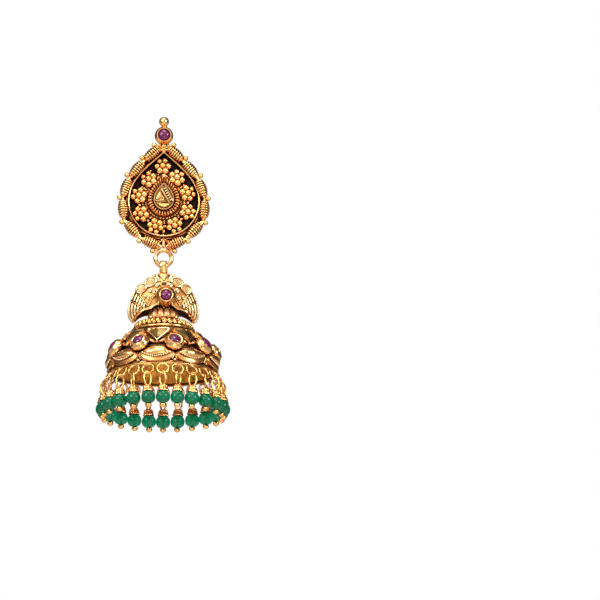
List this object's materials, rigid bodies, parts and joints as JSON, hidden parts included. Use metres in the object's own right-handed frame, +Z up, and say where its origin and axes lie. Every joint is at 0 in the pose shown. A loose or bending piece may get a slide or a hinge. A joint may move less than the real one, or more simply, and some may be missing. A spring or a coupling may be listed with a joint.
{
  "type": "jhumka earring",
  "caption": "Antique gold jhumka earring: teardrop stud with ear post, and a domed bell with ruby settings and a fringe of green beads that swings on a ring.",
  "frame": {"origin": "where the ear post's axis meets the back of the stud", "axes": "+Z up, front of the stud towards -Y, ear post along +Y, the drop hangs along -Z"},
  "size_m": [0.0268, 0.0267, 0.0625],
  "materials": {
    "antique_gold": "oxidised in the recesses",
    "bright_gold": "polished",
    "copper_gold": "satin",
    "dark_floor": "dark patina",
    "ruby": "polished",
    "green_bead": "polished"
  },
  "bodies": {
    "stud": {"stud_plate": "dark_floor", "ear_post": "bright_gold", "teardrop_wire": "antique_gold", "ribbed_rim": "antique_gold", "granule_florets": "antique_gold", "centre_boss": "antique_gold", "top_setting": "bright_gold", "top_stone": "ruby", "hanging_ring": "bright_gold"},
    "drop": {"bail": "bright_gold", "crown": "antique_gold", "crown_setting": "copper_gold", "crown_stone": "ruby", "petal_neck": "copper_gold", "granule_shoulder": "antique_gold", "bell": "antique_gold", "bell_stone_1": "ruby", "bell_stone_2": "ruby", "bell_stone_3": "ruby", "bell_stone_4": "ruby", "bell_stone_5": "ruby", "bell_stone_6": "ruby", "bell_stone_7": "ruby", "bell_stone_8": "ruby", "bell_stone_9": "ruby", "rim_loops": "bright_gold", "droplet_1": "green_bead", "droplet_2": "green_bead", "droplet_3": "green_bead", "droplet_4": "green_bead", "droplet_5": "green_bead", "droplet_6": "green_bead", "droplet_7": "green_bead", "droplet_8": "green_bead", "droplet_9": "green_bead", "droplet_10": "green_bead", "droplet_11": "green_bead", "droplet_12": "green_bead", "droplet_13": "green_bead", "droplet_14": "green_bead", "droplet_15": "green_bead", "droplet_16": "green_bead", "droplet_17": "green_bead", "droplet_18": "green_bead", "droplet_19": "green_bead", "droplet_20": "green_bead", "droplet_21": "green_bead", "droplet_22": "green_bead", "droplet_23": "green_bead", "droplet_24": "green_bead"}
  },
  "joints": [
    {"name": "drop_swing", "type": "hinge", "parent": "stud", "child": "drop", "pos_m": [0, -0.00175, -0.01773], "axis": [1, 0, 0], "range_deg": [-60, 60]}
  ]
}
